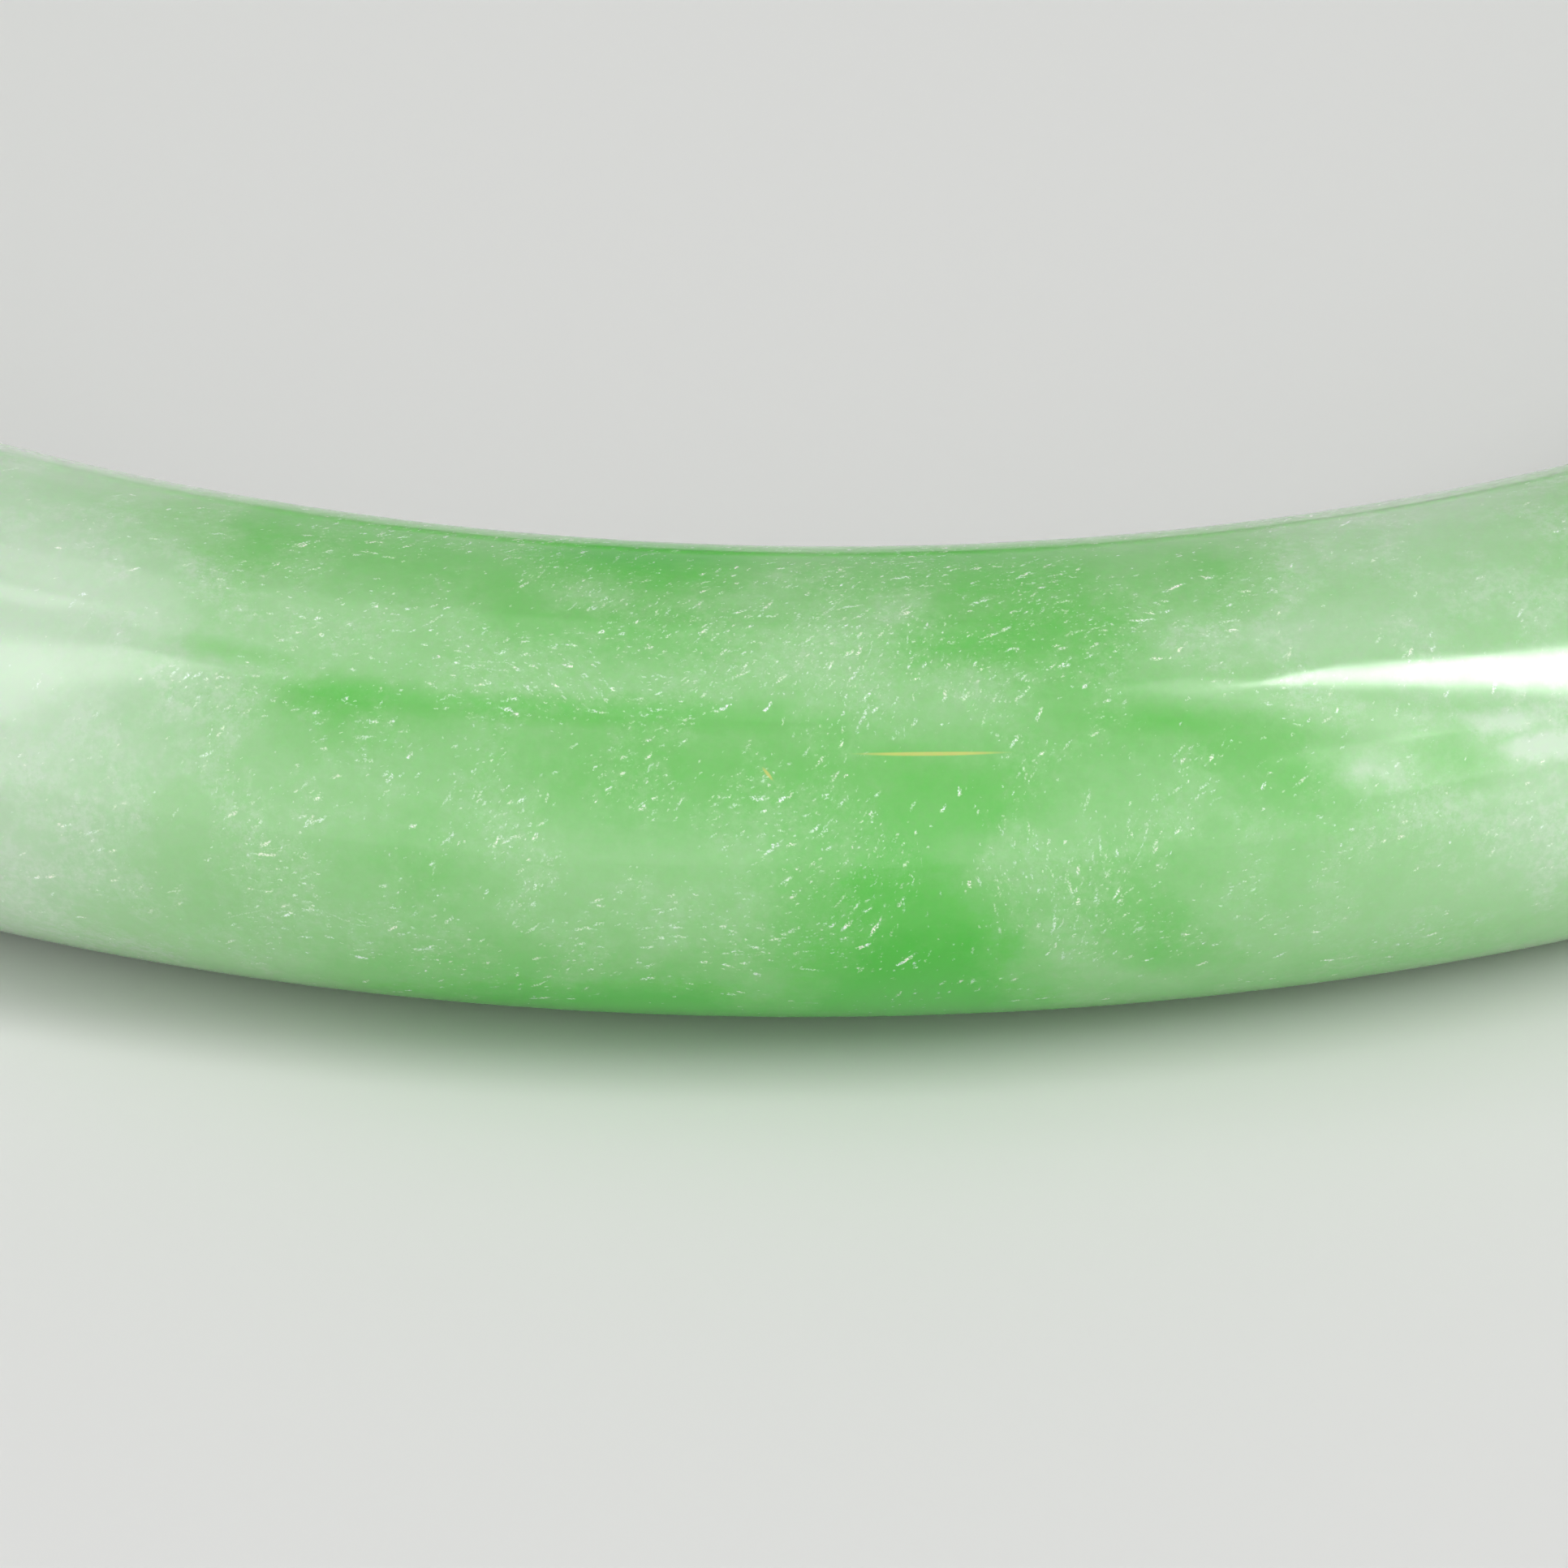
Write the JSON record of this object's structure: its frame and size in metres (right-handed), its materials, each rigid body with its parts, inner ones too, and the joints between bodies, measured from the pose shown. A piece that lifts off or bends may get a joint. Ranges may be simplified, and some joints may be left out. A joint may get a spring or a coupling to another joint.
{
  "type": "bangle bracelet",
  "caption": "Plain closed ring bangle of polished green and white jadeite with a rounded oval section, worn on the wrist.",
  "frame": {"origin": "centre of the circle the ring rests on when it lies flat, on the ring's axis at its lowest point", "axes": "+Z along the ring's axis, up from the surface it lies on; X and Y are level, and the greenest stretch of the stone is at -Y"},
  "size_m": [0.0722, 0.0722, 0.0072],
  "materials": {
    "jadeite": "polished"
  },
  "bodies": {
    "root": {"bangle_ring": "jadeite"}
  },
  "joints": []
}
